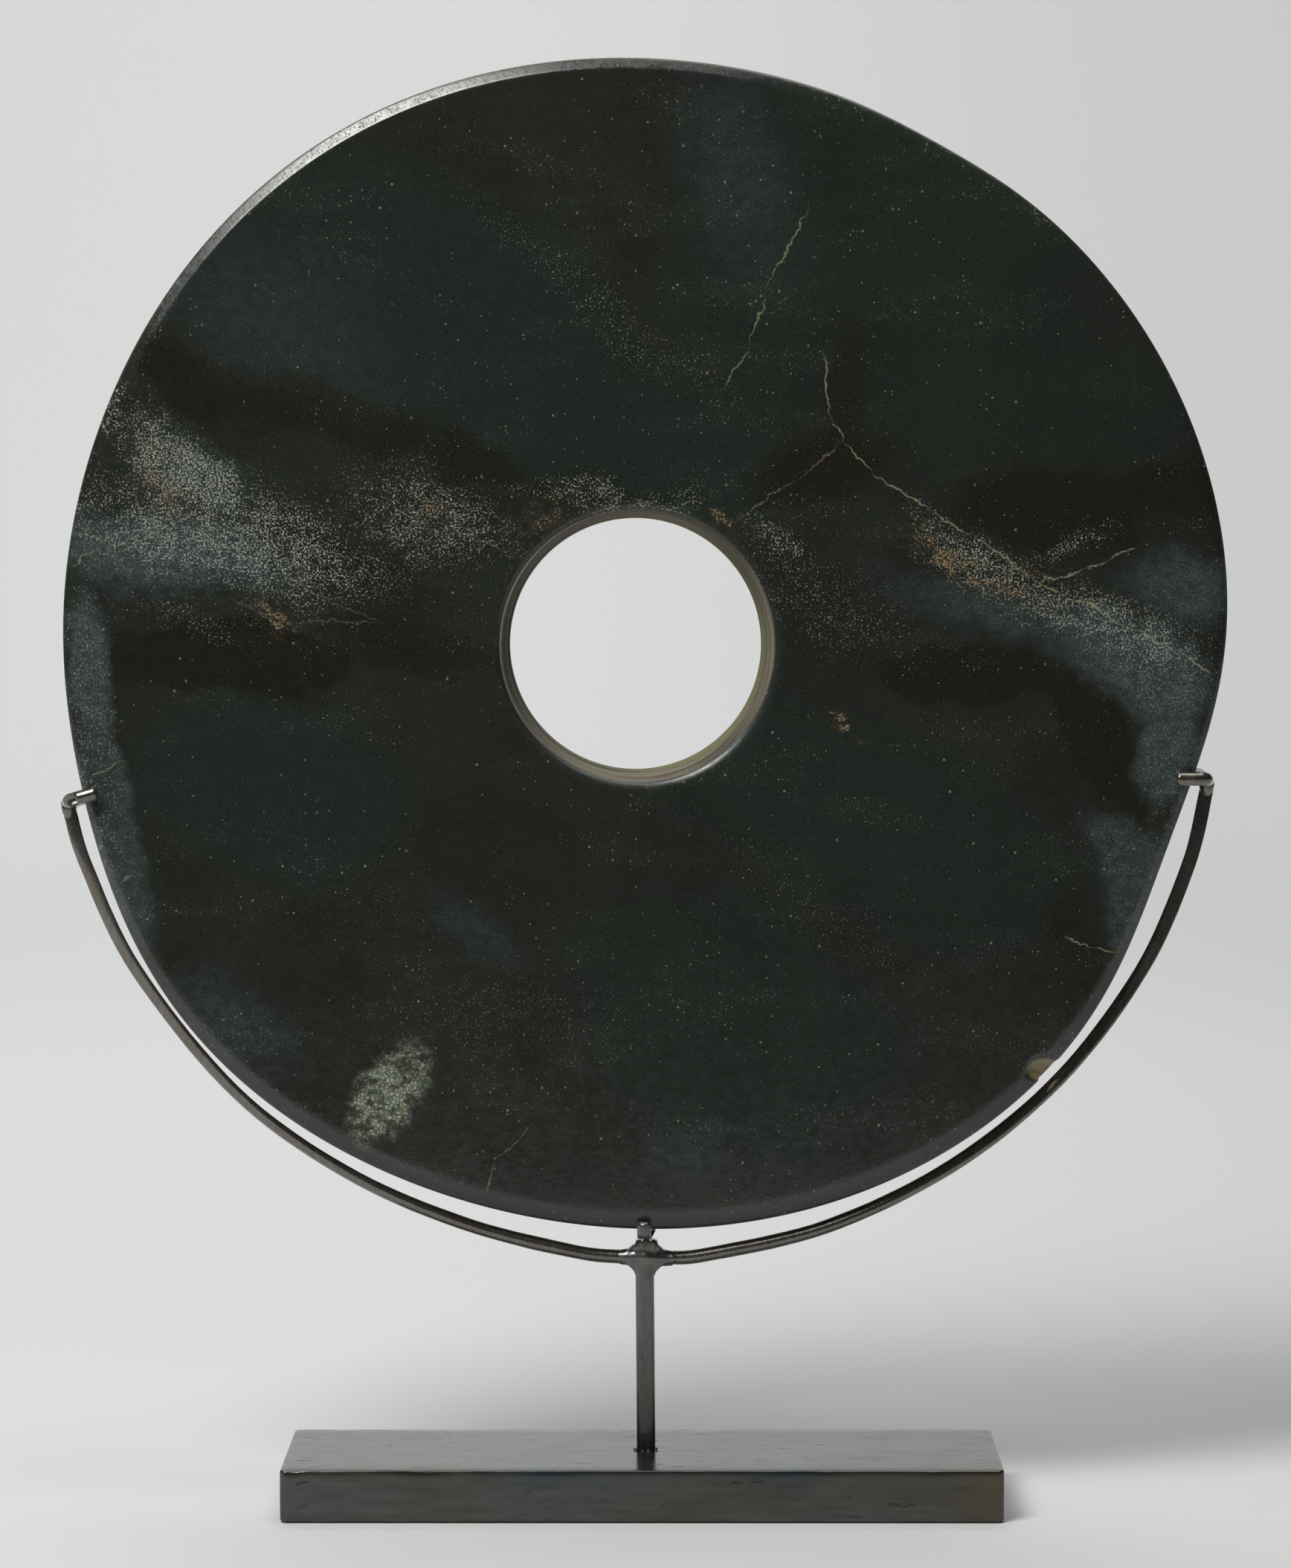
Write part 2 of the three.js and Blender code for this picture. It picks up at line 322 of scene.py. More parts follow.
def gusset(name, x, z, size, depth):
    """A square bar lying along Y and stood on its edge: it fills a corner where bars cross."""
    bpy.ops.object.select_all(action="DESELECT")
    bpy.ops.mesh.primitive_cube_add(size=1, location=(x, 0, z), rotation=(0, math.radians(45), 0),
                                    scale=(size, depth, size))
    fill = bpy.context.object
    fill.name = name
    bpy.ops.object.transform_apply(location=True, rotation=True, scale=True)
    return fill


bar = add_block("stem_bar", (STEM_FOOT_X - STEM_HALF, -STEM_HALF, high.z),
                (STEM_FOOT_X + STEM_HALF, STEM_HALF, STEM_TOP_Z))
bpy.ops.object.mode_set(mode="EDIT")
pick(bar, "faces", lambda f: f.normal.z > 0.9)
bpy.ops.transform.translate(value=(STEM_HEAD_X - STEM_FOOT_X, 0, 0))
pick(bar, "edges", lambda e: abs(e.verts[0].co.z - e.verts[1].co.z) > 5 * MM)
bpy.ops.mesh.bevel(offset=1.0 * MM, segments=4, affect="EDGES")
bpy.ops.object.mode_set(mode="OBJECT")
seat = add_block("stem_seat", mm(-1.5, -1.9, 51), mm(3.3, 1.9, 56.3))
bpy.ops.object.mode_set(mode="EDIT")
pick(seat, "edges", lambda e: True)
bpy.ops.mesh.bevel(offset=0.5 * MM, segments=2, affect="EDGES")
bpy.ops.object.mode_set(mode="OBJECT")
stem = join(
    "stem_brazed", bar, seat,
    add_cone("left_stub", mm(0.6, 0, 52.6), mm(-5.0, 0, 52.45), 2.3 * MM, 1.6 * MM),
    add_cone("right_stub", mm(0.6, 0, 52.5), mm(6.6, 0, 52.15), 2.3 * MM, 1.6 * MM),
    gusset("crest", 0.9 * MM, 54.9 * MM, 3.7 * MM, 3.7 * MM),
    add_cone("cradle", mm(0.9, -5.6, 55.9), mm(0.9, 5.6, 55.9), 1.15 * MM, 1.15 * MM),
    *[gusset("fillet", x * MM, z * MM, size * MM, 3.2 * MM) for x, z, size in FILLETS],
    gusset("left_web", -2.0 * MM, 53.6 * MM, 2.3 * MM, 2.9 * MM),
    gusset("right_web", 3.6 * MM, 53.6 * MM, 2.0 * MM, 2.9 * MM),
    add_ball("left_drop", mm(-4.7, -0.3, 52.7), 1.3 * MM),
    add_ball("right_drop", mm(6.4, -0.5, 52.3), 1.3 * MM))
finish_with(stem, "REMESH", mode="VOXEL", voxel_size=0.2 * MM)
finish_with(stem, "SMOOTH", factor=0.5, iterations=14)
finish_with(stem, "DISPLACE", texture=ripple("hammered", 0.0022), strength=0.05 * MM, mid_level=0.55,
            texture_coords="GLOBAL")
burrs = [add_ball("burr", mm(x, y, 11.1), 0.32 * MM, (length, 1, 0.7), 10) for x, y, length in BURRS]
stem = join("stem_brazed", stem, *burrs)
bpy.ops.object.shade_smooth()


# Waxed rod: nearly black brown, with a faint grain along it and a soft blue and straw bloom near the heat.
def rod_finish(name, ground, brown, blue, blue_share, sheen, run):
    """The blackened finish in a place's own tones, its sheen, and how far its grain runs each way."""
    material, tree, shader, place = new_material(name)
    upright = add(tree, "ShaderNodeMapping", {"Vector": place, "Rotation": (0, math.radians(90), 0)})
    coat = use_group(tree, bloom, {"Place": upright.outputs[0], "Size": 9.0, "Ground": ground,
                                   "Brown": brown, "Blue": blue,
                                   "Brown share": 0.6, "Blue share": blue_share})
    grain = clouds(tree, place, 0.5, detail=4.0, rough=0.7, stretch=run)
    worn = ramp(tree, clouds(tree, place, 2.6, detail=5.0, rough=0.7, stretch=run).outputs[0], 0.5, 0.72)
    colour = blend(tree, sums(tree, "MULTIPLY", worn, 0.35), coat.outputs["Colour"], linear(124, 123, 118))
    # the finish is darker towards the foot
    height = add(tree, "ShaderNodeSeparateXYZ", {0: place}).outputs[2]
    colour = blend(tree, ramp(tree, height, 44.0, 10.0, 0.0, 0.8), colour, linear(46, 45, 38))
    tree.links.new(colour, shader.inputs["Base Color"])
    shader.inputs["Metallic"].default_value = 0.9
    shader.inputs["Coat Weight"].default_value = 0.7
    shader.inputs["Coat Roughness"].default_value = 0.1
    tree.links.new(ramp(tree, grain.outputs[0], 0.3, 0.7, sheen, sheen + 0.12), shader.inputs["Roughness"])
    bump = add(tree, "ShaderNodeBump", {"Strength": 0.35, "Distance": 0.0001, "Height": grain.outputs[0]})
    tree.links.new(bump.outputs[0], shader.inputs["Normal"])
    return material


stem.data.materials.clear()
stem_steel = rod_finish("stem_steel", linear(104, 104, 101), linear(98, 94, 84), linear(98, 97, 106),
                        0.5, 0.3, (1, 1, 0.12))
stem.data.materials.append(stem_steel)
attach(stem, "root")
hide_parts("stem")

# The arms: 3 mm round rod drawn round the disc's edge. Each ends in a clip of the same rod, bent to a U and
# brazed across it, whose two short claws hold the disc from the front and from behind.

ROD = 1.5 * MM
ROD_SIDES = 24
DISC_X, DISC_Z = -0.8 * MM, 183.3 * MM
CLAW_Y = 8.3 * MM
LEG_STEP = 0.8 * MM
ROD_BEND, BEND_STEPS = 1.9 * MM, 6
SWEEP_STEPS = 9
# each station's degrees round the disc and its distance from the disc's middle, in millimetres
LEFT_SWEEP = [(264, 130.4), (253, 129.1), (241, 128.7), (228, 128.4), (213, 127.4), (202, 126.5),
              (196.8, 126)]
RIGHT_SWEEP = [(276.5, 131.1), (288, 130.6), (301, 129.8), (314, 128.9), (327, 127.6), (338, 126.0),
               (345.3, 124.6)]


def smooth_path(points, steps):
    """Points along a curve that runs through all the given ones."""
    ends = [2 * points[0] - points[1], *points, 2 * points[-1] - points[-2]]
    path = [points[0]]
    for before, here, there, after in zip(ends, ends[1:], ends[2:], ends[3:]):
        path += geometry.interpolate_bezier(here, here + (there - before) / 6, there - (after - here) / 6,
                                            there, steps + 1)[1:]
    return path


def bent_path(corners, bend, steps):
    """Points along straight legs with a round bend at each inner corner."""
    path = [corners[0]]
    for before, corner, after in zip(corners, corners[1:], corners[2:]):
        into = corner + (before - corner).normalized() * bend
        out = corner + (after - corner).normalized() * bend
        legs = max(1, round((into - path[-1]).length / LEG_STEP))
        path += [path[-1].lerp(into, step / legs) for step in range(1, legs + 1)]
        path += geometry.interpolate_bezier(into, into.lerp(corner, 2 / 3), out.lerp(corner, 2 / 3), out,
                                            steps + 1)[1:]
    legs = max(1, round((corners[-1] - path[-1]).length / LEG_STEP))
    return path + [path[-1].lerp(corners[-1], step / legs) for step in range(1, legs + 1)]


def draw_rod(name, path, radius=ROD, sides=ROD_SIDES):
    """A round rod: a disc at the path's start is pulled out from point to point and turned at each."""
    bpy.ops.object.select_all(action="DESELECT")
    heading = (path[1] - path[0]).normalized()
    bpy.ops.mesh.primitive_circle_add(vertices=sides, radius=radius, fill_type="NGON", location=path[0],
                                      rotation=heading.to_track_quat("Z", "Y").to_euler())
    rod = bpy.context.object
    rod.name = name
    bpy.ops.object.transform_apply(location=True, rotation=True, scale=True)
    bpy.ops.object.mode_set(mode="EDIT")
    bpy.ops.mesh.select_all(action="SELECT")
    for here, there, beyond in zip(path, path[1:], [*path[2:], None]):
        bpy.ops.mesh.extrude_region_move(TRANSFORM_OT_translate={"value": there - here})
        onward = (there - here).normalized()
        if beyond is not None:
            onward = (onward + (beyond - there).normalized()).normalized()
        axis = heading.cross(onward)
        if axis.length > 1e-6:
            turn_about(axis.normalized(), heading.angle(onward), there)
        heading = onward
    bpy.ops.mesh.select_all(action="SELECT")
    bpy.ops.mesh.normals_make_consistent(inside=False)
    bpy.ops.object.mode_set(mode="OBJECT")
    return rod


def turn_about(axis, angle, centre):
    """Turns what is selected about an axis through a point."""
    side = axis.orthogonal().normalized()
    frame_of_turn = Matrix((side, axis.cross(side), axis))
    bpy.ops.transform.rotate(value=-angle, orient_axis="Z", orient_type="GLOBAL",
                             orient_matrix=frame_of_turn, orient_matrix_type="GLOBAL",
                             center_override=centre)


def ease_ends(rod, ends, size, segments=3):
    """Files a small bevel round the flat ends nearest to the given points."""
    bpy.ops.object.select_all(action="DESELECT")
    rod.select_set(True)
    bpy.context.view_layer.objects.active = rod
    bpy.ops.object.mode_set(mode="EDIT")
    pick(rod, "edges", lambda e: any(len(f.verts) > 4 for f in e.link_faces)
         and any((e.verts[0].co - end).length < 2.2 * ROD for end in ends))
    bpy.ops.mesh.bevel(offset=size, segments=segments, affect="EDGES")
    bpy.ops.object.mode_set(mode="OBJECT")


def around_disc(degrees, reach):
    """A point in the arms' plane, at an angle and a distance from the disc's middle."""
    angle = math.radians(degrees)
    return Vector((DISC_X + reach * MM * math.cos(angle), 0, DISC_Z + reach * MM * math.sin(angle)))


def bend_arm(name, start, sweep, top, front, rear, tip, blunt):
    """An arm, its clip and the braze between them. tip is the way from a claw's corner to its end."""
    points = [Vector(start) * MM, *[around_disc(*station) for station in sweep],
              Vector((top[0], 0, top[1])) * MM]
    rod = draw_rod(name + "_rod", smooth_path(points, SWEEP_STEPS))
    front = Vector((front[0] * MM, -CLAW_Y, front[1] * MM))
    rear = Vector((rear[0] * MM, CLAW_Y, rear[1] * MM))
    tip = Vector((tip[0], 0, tip[1])) * MM
    clip = draw_rod(name + "_clip", bent_path([front + tip, front, points[-1], rear, rear + tip],
                                              ROD_BEND, BEND_STEPS))
    ease_ends(clip, [front + tip, rear + tip], blunt)
    braze = add_ball(name + "_braze", points[-1] - (points[-1] - points[-2]).normalized() * 0.9 * MM,
                     1.62 * MM, (1, 1.05, 1.5))
    whole = join(name, rod, clip, braze)
    finish_with(whole, "DISPLACE", texture=ripple(name + "_hand", 0.009), strength=0.16 * MM, mid_level=0.5,
                texture_coords="GLOBAL")
    bpy.ops.object.shade_smooth_by_angle(angle=math.radians(40))
    return whole


climb = math.radians(16)
left_arm = bend_arm("left_arm_bent", (-3.2, 0, 52.45), LEFT_SWEEP, (-122, 149.6), (-120.7, 150.7),
                    (-120.7, 149.7), (5.7 * math.cos(climb), 5.7 * math.sin(climb)), 0.35 * MM)
right_arm = bend_arm("right_arm_bent", (4.9, 0, 52.25), RIGHT_SWEEP, (120, 154.2), (118.9, 155.2),
                     (118.9, 155.2), (-6.1, 0), 0.6 * MM)
rod_steel = rod_finish("rod_steel", linear(110, 107, 100), linear(100, 88, 72), linear(96, 98, 104), 0.3,
                       0.2, (1, 1, 1))
for piece, node in ((left_arm, "left_arm"), (right_arm, "right_arm")):
    piece.data.materials.clear()
    piece.data.materials.append(rod_steel)
    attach(piece, "root")
    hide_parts(node)

# The saddle: a short U of the same rod, brazed across the head and turned a little on it. The disc's lowest
# point rests in it, and its legs stop the disc from tipping.

SADDLE_X = 0.95 * MM
saddle_low, saddle_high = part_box("saddle")
turn = math.radians(3.8)
bar_z = saddle_low.z + ROD
leg_z = saddle_high.z - 0.3 * MM
across = Vector((-math.sin(turn), -math.cos(turn), 0))
corners = [Vector((SADDLE_X, 0, 0)) + across * reach + Vector((0, 0, z))
           for reach, z in ((CLAW_Y, leg_z), (CLAW_Y, bar_z), (-CLAW_Y, bar_z), (-CLAW_Y, leg_z))]
saddle = draw_rod("saddle_bent", bent_path(corners, ROD_BEND, BEND_STEPS))
ease_ends(saddle, [corners[0], corners[-1]], 0.8 * MM, 5)
bpy.ops.object.shade_smooth_by_angle(angle=math.radians(40))
saddle.data.materials.clear()
saddle.data.materials.append(stem_steel)
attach(saddle, "root")
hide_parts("saddle")

# The disc: one slab of dark nephrite, sawn, bored from the front with a tapering drill, its outline ground
# by hand with flats and swells, its rim bevelled, and all of it polished.

BORE_X = -1.4 * MM
# half the thickness, and the section's other radii and depths, are in millimetres
FACE = 6.5
BORE_FRONT, FACE_END = 28.9, 118.55
SECTOR, SECTOR_STEPS = math.tau / 16, 45  # doubled four times, a sector makes the whole round
CRISP_AT, CRISP_HALF, CRISP_FADE = 112, 30, 13  # the stretch of bevel that is still crisp, in degrees
LIP_AT, LIP_SPREAD = -58, 34  # where the bore's edge is worn most, in degrees
CHIP_X, CHIP_Z = 85.2, 93.2
# each swell or flat of the outline: its middle in degrees, its height, and its spread in degrees
GROUND = [(26, 4.7, 45), (59, -0.9, 9), (122, 4.15, 37), (197, -1.95, 18), (219, 4.45, 33),
          (303.5, 4.95, 45), (339.5, -5.15, 17)]


def away(degrees, at):
    """How many degrees round the disc one angle lies from another, -180 to 180."""
    return (degrees - at + 180) % 360 - 180


def part_way(value, start, end):
    """0 at start and before it, 1 at end and past it."""
    return min(1.0, max(0.0, (value - start) / (end - start)))


def ground_outline(degrees):
    """How far the hand-ground outline stands out of the round, in millimetres, at an angle."""
    return sum(height * math.exp(-((away(degrees, at) / spread) ** 2)) for at, height, spread in GROUND)


# the section's corners, radius by depth in millimetres, from the bore's front round the rim to its back
SECTION = [(29.6, -FACE), (30.6, -FACE), (34, -FACE)]
SECTION += [(34 + 82.0 * step / 40, -FACE) for step in range(1, 41)]
SECTION += [(116.6, -FACE), (117.3, -FACE), (118.0, -FACE), (118.4, -6.49), (FACE_END, -6.45),
            (118.72, -6.38), (119.1, -6.18), (119.5, -5.96), (119.9, -5.75), (120.3, -5.53),
            (120.6, -5.36), (120.74, -5.26), (120.82, -5.1), (120.86, -4.8), (120.95, -3.6),
            (121.08, -1.9), (121.12, 0), (121.08, 1.9), (120.95, 3.6), (120.8, 4.7), (120.4, 5.4),
            (119.7, 5.95), (118.9, 6.35), (118.0, FACE)]
SECTION += [(118.0 - 90.0 * step / 30, FACE) for step in range(1, 31)]
SECTION += [(27.25, 6.48), (26.95, 6.38), (26.78, 6.15)]
DRILL_RINGS = [0.0, 0.05, -0.02, 0.06, 0.01, 0.0, 0.07, 0.02, -0.03, 0.04, 0.08, 0.0]
SECTION += [(26.74 + 1.95 * step / 26 + DRILL_RINGS[step % 12], 5.9 - 11.6 * step / 26)
            for step in range(27)]
SECTION += [(28.74, -5.86), (28.92, -6.02), (29.12, -6.2), (29.35, -6.37)]

bpy.ops.object.select_all(action="DESELECT")
bpy.ops.mesh.primitive_circle_add(vertices=len(SECTION), radius=0.05, fill_type="NOTHING")
disc = bpy.context.object
disc.name = "jade_disc_polished"
for vertex, (radius, depth) in zip(disc.data.vertices, SECTION):
    vertex.co = (radius * MM, depth * MM, 0)
bpy.ops.object.mode_set(mode="EDIT")
bpy.ops.mesh.select_all(action="SELECT")
bpy.ops.mesh.spin(steps=SECTOR_STEPS, angle=SECTOR, center=(0, 0, 0), axis=(0, 1, 0), dupli=False)
for doubling in range(4):
    bpy.ops.mesh.select_all(action="SELECT")
    bpy.ops.mesh.duplicate()
    bpy.ops.transform.rotate(value=SECTOR * 2 ** doubling, orient_axis="Y", orient_type="GLOBAL",
                             center_override=(0, 0, 0))
bpy.ops.mesh.select_all(action="SELECT")
bpy.ops.mesh.remove_doubles(threshold=0.00001)
bpy.ops.mesh.normals_make_consistent(inside=False)
bpy.ops.object.mode_set(mode="OBJECT")
for vertex in disc.data.vertices:
    x, y, z = vertex.co / MM
    radius = math.hypot(x, z)
    degrees = math.degrees(math.atan2(z, x))
    outward = part_way(radius, BORE_FRONT, FACE_END)
    if radius > 115.5 and y < -5.2:
        # the bevel is crisp at the upper left and worn round elsewhere
        worn = part_way(abs(away(degrees, CRISP_AT)), CRISP_HALF, CRISP_HALF + CRISP_FADE)
        y += worn * (-FACE + 1.2 * max(0.0, (radius - 116.2) / 4.6) ** 3 - y)
    # the front of the bore is rounded off more at the lower right
    if radius < 33 and y < -3:
        lip = math.exp(-(away(degrees, LIP_AT) / LIP_SPREAD) ** 2)
        y += lip * 0.75 * part_way(32.2 - radius, 0, 3.2) ** 2.2
    scale = 1 + outward * ground_outline(degrees) / radius
    shift = (1 - outward) * (BORE_X - DISC_X) / MM
    x, z = x * scale + shift + DISC_X / MM, z * scale + DISC_Z / MM
    # a shallow chip in the rim's front edge, lower right
    chip = max(0.0, 1 - math.hypot((x - CHIP_X) / 3.6, (z - CHIP_Z) / 2.4) ** 2)
    if chip and y < 0:
        y += 1.5 * chip ** 0.6
        x, z = x - 0.55 * chip ** 0.5, z + 0.55 * chip ** 0.5
    vertex.co = Vector((x, y, z)) * MM
bpy.ops.object.shade_smooth_by_angle(angle=math.radians(50))

# Pale grains: in a share of the stone's cells sits one small crystal.
grains, grains_in, grains_out = new_group(
    "jade_grains", {"Place": "vector", "Cell": "number", "Share": "number", "Size": "number"},
    {"Mask": "number"})
cell_spot = add(grains, "ShaderNodeVectorMath",
                {"Scale": sums(grains, "DIVIDE", 1.0, grains_in["Cell"]), 0: grains_in["Place"]},
                operation="SCALE")
cells = add(grains, "ShaderNodeTexVoronoi", {"Vector": cell_spot.outputs[0], "Scale": 1.0})
cell_draw = add(grains, "ShaderNodeSeparateColor", {0: cells.outputs["Color"]})
taken = ramp(grains, cell_draw.outputs[0], grains_in["Share"],
             sums(grains, "SUBTRACT", grains_in["Share"], 0.06))
radius = sums(grains, "MULTIPLY", grains_in["Size"], sums(grains, "ADD", cell_draw.outputs[1], 0.45))
grains.links.new(sums(grains, "MULTIPLY", taken,
                      ramp(grains, cells.outputs["Distance"], radius, sums(grains, "MULTIPLY", radius, 0.45))),
                 grains_out["Mask"])

jade, tree, shader, place = new_material("jade_dark")
IN_PLANE = (1, 0, 1)


def vectors(operation, first, second):
    """One sum of two vectors."""
    return add(tree, "ShaderNodeVectorMath", {0: first, 1: second}, operation=operation).outputs[0]


def wander(spot, size, amount, detail=2.0):
    """How far rolling noise pushes a place about, within the slab's plane."""
    push = clouds(tree, spot, size, detail=detail).outputs["Color"]
    return vectors("MULTIPLY", vectors("SUBTRACT", push, (0.5, 0.5, 0.5)), (amount, 0, amount))


def pushed(*pushes):
    """The place in the slab's plane, moved by each push."""
    spot = vectors("MULTIPLY", place, IN_PLANE)
    for push in pushes:
        spot = vectors("ADD", spot, push)
    return spot


slab_spot = vectors("MULTIPLY", place, (1, 0.35, 1))

wide_push, near_push = wander(slab_spot, 30.0, 16.0, 1.0), wander(slab_spot, 6.0, 6.0)
tiny_push = wander(slab_spot, 1.7, 1.6, 1.0)
drift = pushed(wide_push, near_push, tiny_push)
half_push = add(tree, "ShaderNodeVectorMath", {"Scale": 0.5, 0: near_push}, operation="SCALE").outputs[0]
jitter = pushed(half_push, tiny_push)


def oval(spot, x, z, length, width, fall):
    """1 in the middle of an oval and 0 past its edge; it falls to the right by so many degrees."""
    field = add(tree, "ShaderNodeTexGradient", {"Vector": spot}, gradient_type="SPHERICAL")
    field.texture_mapping.vector_type = "TEXTURE"
    field.texture_mapping.translation = (x, 0, z)
    field.texture_mapping.rotation = (0, math.radians(fall), 0)
    field.texture_mapping.scale = (length, 1000, width)
    return field.outputs["Fac"]


def stain(spot, x, z, length, width, fall, softness, weight):
    """An oval stain of about this reach with a soft edge."""
    reach = 1 + softness
    return ramp(tree, oval(spot, x, z, length * reach, width * reach, fall), 0.0, 2 * softness / reach,
                0.0, weight)


def stains(rows):
    """Stains laid over one another. A row is x, z, half length and half width in millimetres, the fall
    to the right in degrees, the softness and the weight."""
    total = None
    for row in rows:
        mask = stain(drift, *row)
        total = mask if total is None else sums(tree, "MAXIMUM", total, mask)
    return total


# the grain of the stone runs from upper left to lower right
grain_run = clouds(tree, slab_spot, 9.0, detail=2.0, rough=0.5, stretch=(0.3, 1, 1),
                   turn=(0, math.radians(-36), 0))
grain_fine = clouds(tree, slab_spot, 1.7, detail=2.0, rough=0.6, stretch=(0.7, 1, 1),
                    turn=(0, math.radians(-34), 0))
body_noise = clouds(tree, slab_spot, 26.0, detail=2.0)

green = stains([(-45, 252, 46, 26, 25, 0.35, 1), (-8, 225, 40, 14, 12, 0.3, 1),
                (55, 262, 40, 40, 0, 0.6, 0.5), (-78, 152, 28, 17, 14, 0.2, 1),
                (45, 148, 50, 18, 25, 0.4, 0.7), (20, 102, 34, 24, 30, 0.5, 0.6),
                (90, 232, 26, 14, 10, 0.5, 0.5)])
brown = stains([(-96, 240, 12, 6, 35, 0.3, 1), (-66, 232, 24, 6, 14, 0.35, 1),
                (-34, 221, 14, 5, 14, 0.4, 0.9), (-10, 215, 18, 4, 0, 0.5, 0.6),
                (36, 220, 16, 7, -20, 0.45, 0.9), (42, 238, 5, 12, 0, 0.5, 0.7),
                (88, 212, 22, 8, 6, 0.4, 1), (113, 216, 12, 6, -8, 0.4, 1),
                (-86, 180, 25, 8, 2, 0.14, 1), (-52, 184, 18, 6, 8, 0.5, 0.8),
                (-70, 203, 24, 6, 20, 0.6, 0.5), (69, 177, 19, 6, 6, 0.2, 1),
                (95, 167, 12, 7, 55, 0.16, 1), (100, 146, 5.5, 18, 4, 0.2, 0.9),
                (92, 118, 4.5, 15, -14, 0.4, 0.7)])
# the blue-grey glow: a haze in the stone, and along the left and right rims painted reflections of light in
# the curved polish
glow = stains([(-77, 252, 26, 12, 36, 0.8, 0.2), (21, 281, 8, 20, -18, 0.8, 0.26),
               (-104, 262, 9, 12, 30, 0.8, 0.25), (-100, 203, 24, 8, 6, 0.5, 1),
               (-93, 219, 14, 7, 38, 0.7, 0.6), (-116, 178, 6, 15, 0, 0.3, 0.9),
               (-113, 146, 6, 24, -12, 0.22, 0.6), (104, 180, 18, 8, 24, 0.4, 1),
               (114, 196, 12, 7, 4, 0.5, 0.7), (111, 163, 7, 14, 4, 0.35, 0.85),
               (104, 128, 7, 24, -24, 0.3, 0.7), (-88, 102, 12, 7, 42, 0.8, 0.35),
               (84, 188, 28, 5, 16, 0.7, 0.5), (-34, 122, 4, 8, -35, 0.9, 0.25),
               (10, 76, 8, 5, 20, 0.9, 0.25)])
salt = stains([(-95, 221, 19, 9, 38, 0.7, 1), (-86, 206, 42, 15, 12, 0.7, 0.82),
               (-45, 211, 24, 11, 24, 0.8, 0.75), (-94, 187, 16, 4, 28, 0.8, 0.6),
               (-112, 232, 5, 12, -16, 0.6, 0.7), (-6, 214, 22, 5, 0, 0.8, 0.75),
               (28, 204, 12, 6, 50, 0.8, 0.7), (76, 199, 26, 7, 30, 0.8, 0.85),
               (96, 188, 28, 9, 20, 0.8, 0.78), (110, 182, 18, 14, 20, 0.6, 0.5),
               (111, 155, 9, 26, 0, 0.6, 0.45), (-116, 165, 8, 44, 0, 0.5, 0.5),
               (40, 192, 30, 12, 22, 0.9, 0.55), (-4, 252, 60, 9, 38, 0.9, 0.5),
               (38, 128, 44, 10, 34, 0.9, 0.42), (-30, 104, 46, 12, -10, 0.9, 0.44),
               (-60, 132, 60, 12, 30, 0.9, 0.36), (90, 205, 14, 3, -20, 0.9, 0.7)])
rust = stains([(-99, 217, 10, 3.4, 58, 0.9, 0.8), (-79, 189, 4.4, 2.2, 36, 0.8, 1),
               (70, 200, 15, 2.6, 30, 0.9, 1), (83, 198, 5, 3, 0, 0.8, 0.8),
               (44.5, 166, 3.6, 1.3, 32, 0.7, 1), (16, 209, 7, 2, 35, 0.8, 0.7),
               (-20, 210, 9, 1.8, -32, 0.8, 0.6), (-46, 213, 8, 2.4, 40, 0.9, 0.6)])

tone = blend(tree, ramp(tree, body_noise.outputs[0], 0.35, 0.65), linear(30, 32, 27), linear(33, 37, 31))
tone = blend(tree, green, tone, linear(30, 39, 33))
tone = blend(tree, ramp(tree, grain_run.outputs[0], 0.5, 0.7, 0.0, 0.3), tone, linear(40, 45, 39))
tone = blend(tree, sums(tree, "MULTIPLY", brown, ramp(tree, grain_fine.outputs[0], 0.2, 0.6, 0.8, 1.0)), tone,
             linear(27, 26, 18))
haze_and_rim_reflection_mask = sums(tree, "MULTIPLY", glow, ramp(tree, grain_fine.outputs[0], 0.3, 0.7, 0.55, 1.0))
salt_noise = clouds(tree, slab_spot, 0.46, detail=2.0, rough=0.8)
haze_and_rim_reflection_mask = sums(tree, "MULTIPLY", haze_and_rim_reflection_mask, ramp(tree, salt_noise.outputs[0], 0.4, 0.58, 0.3, 1.0))
# the stone's blue-grey haze, with painted reflections near the rims
tone = blend(tree, haze_and_rim_reflection_mask, tone, linear(78, 90, 90))
rust_mask = sums(tree, "MULTIPLY", rust, ramp(tree, grain_fine.outputs[0], 0.4, 0.6))
tone = blend(tree, sums(tree, "MULTIPLY", rust_mask, 0.65), tone, linear(64, 51, 33))

# fine pale grains: crowded in the bright stone, in loose streaks elsewhere; over rust they are cream
run_salt = ramp(tree, grain_run.outputs[0], 0.35, 0.75, 0.2, 0.42)
crowd = sums(tree, "MAXIMUM", sums(tree, "MAXIMUM", salt, rust_mask), run_salt)
crowd = sums(tree, "MULTIPLY", crowd, ramp(tree, grain_fine.outputs[0], 0.32, 0.58, 0.7, 1.0))
bar_height = ramp(tree, crowd, 0.0, 1.0, 0.68, 0.49)
salt_mask = ramp(tree, sums(tree, "SUBTRACT", salt_noise.outputs[0], bar_height), 0.0, 0.09)
salt_tone = blend(tree, ramp(tree, crowd, 0.2, 0.7), linear(116, 120, 108), linear(166, 168, 157))
salt_tone = blend(tree, rust_mask, salt_tone, linear(160, 144, 108))
tone = blend(tree, sums(tree, "MULTIPLY", salt_mask, 0.85), tone, salt_tone)
sparse = ramp(tree, grain_run.outputs[0], 0.4, 0.7, 0.09, 0.32)
lone_grains = use_group(tree, grains, {"Place": slab_spot, "Cell": 1.25, "Share": sparse, "Size": 0.24})
tone = blend(tree, sums(tree, "MULTIPLY", lone_grains.outputs[0], 0.75), tone, linear(146, 148, 130))


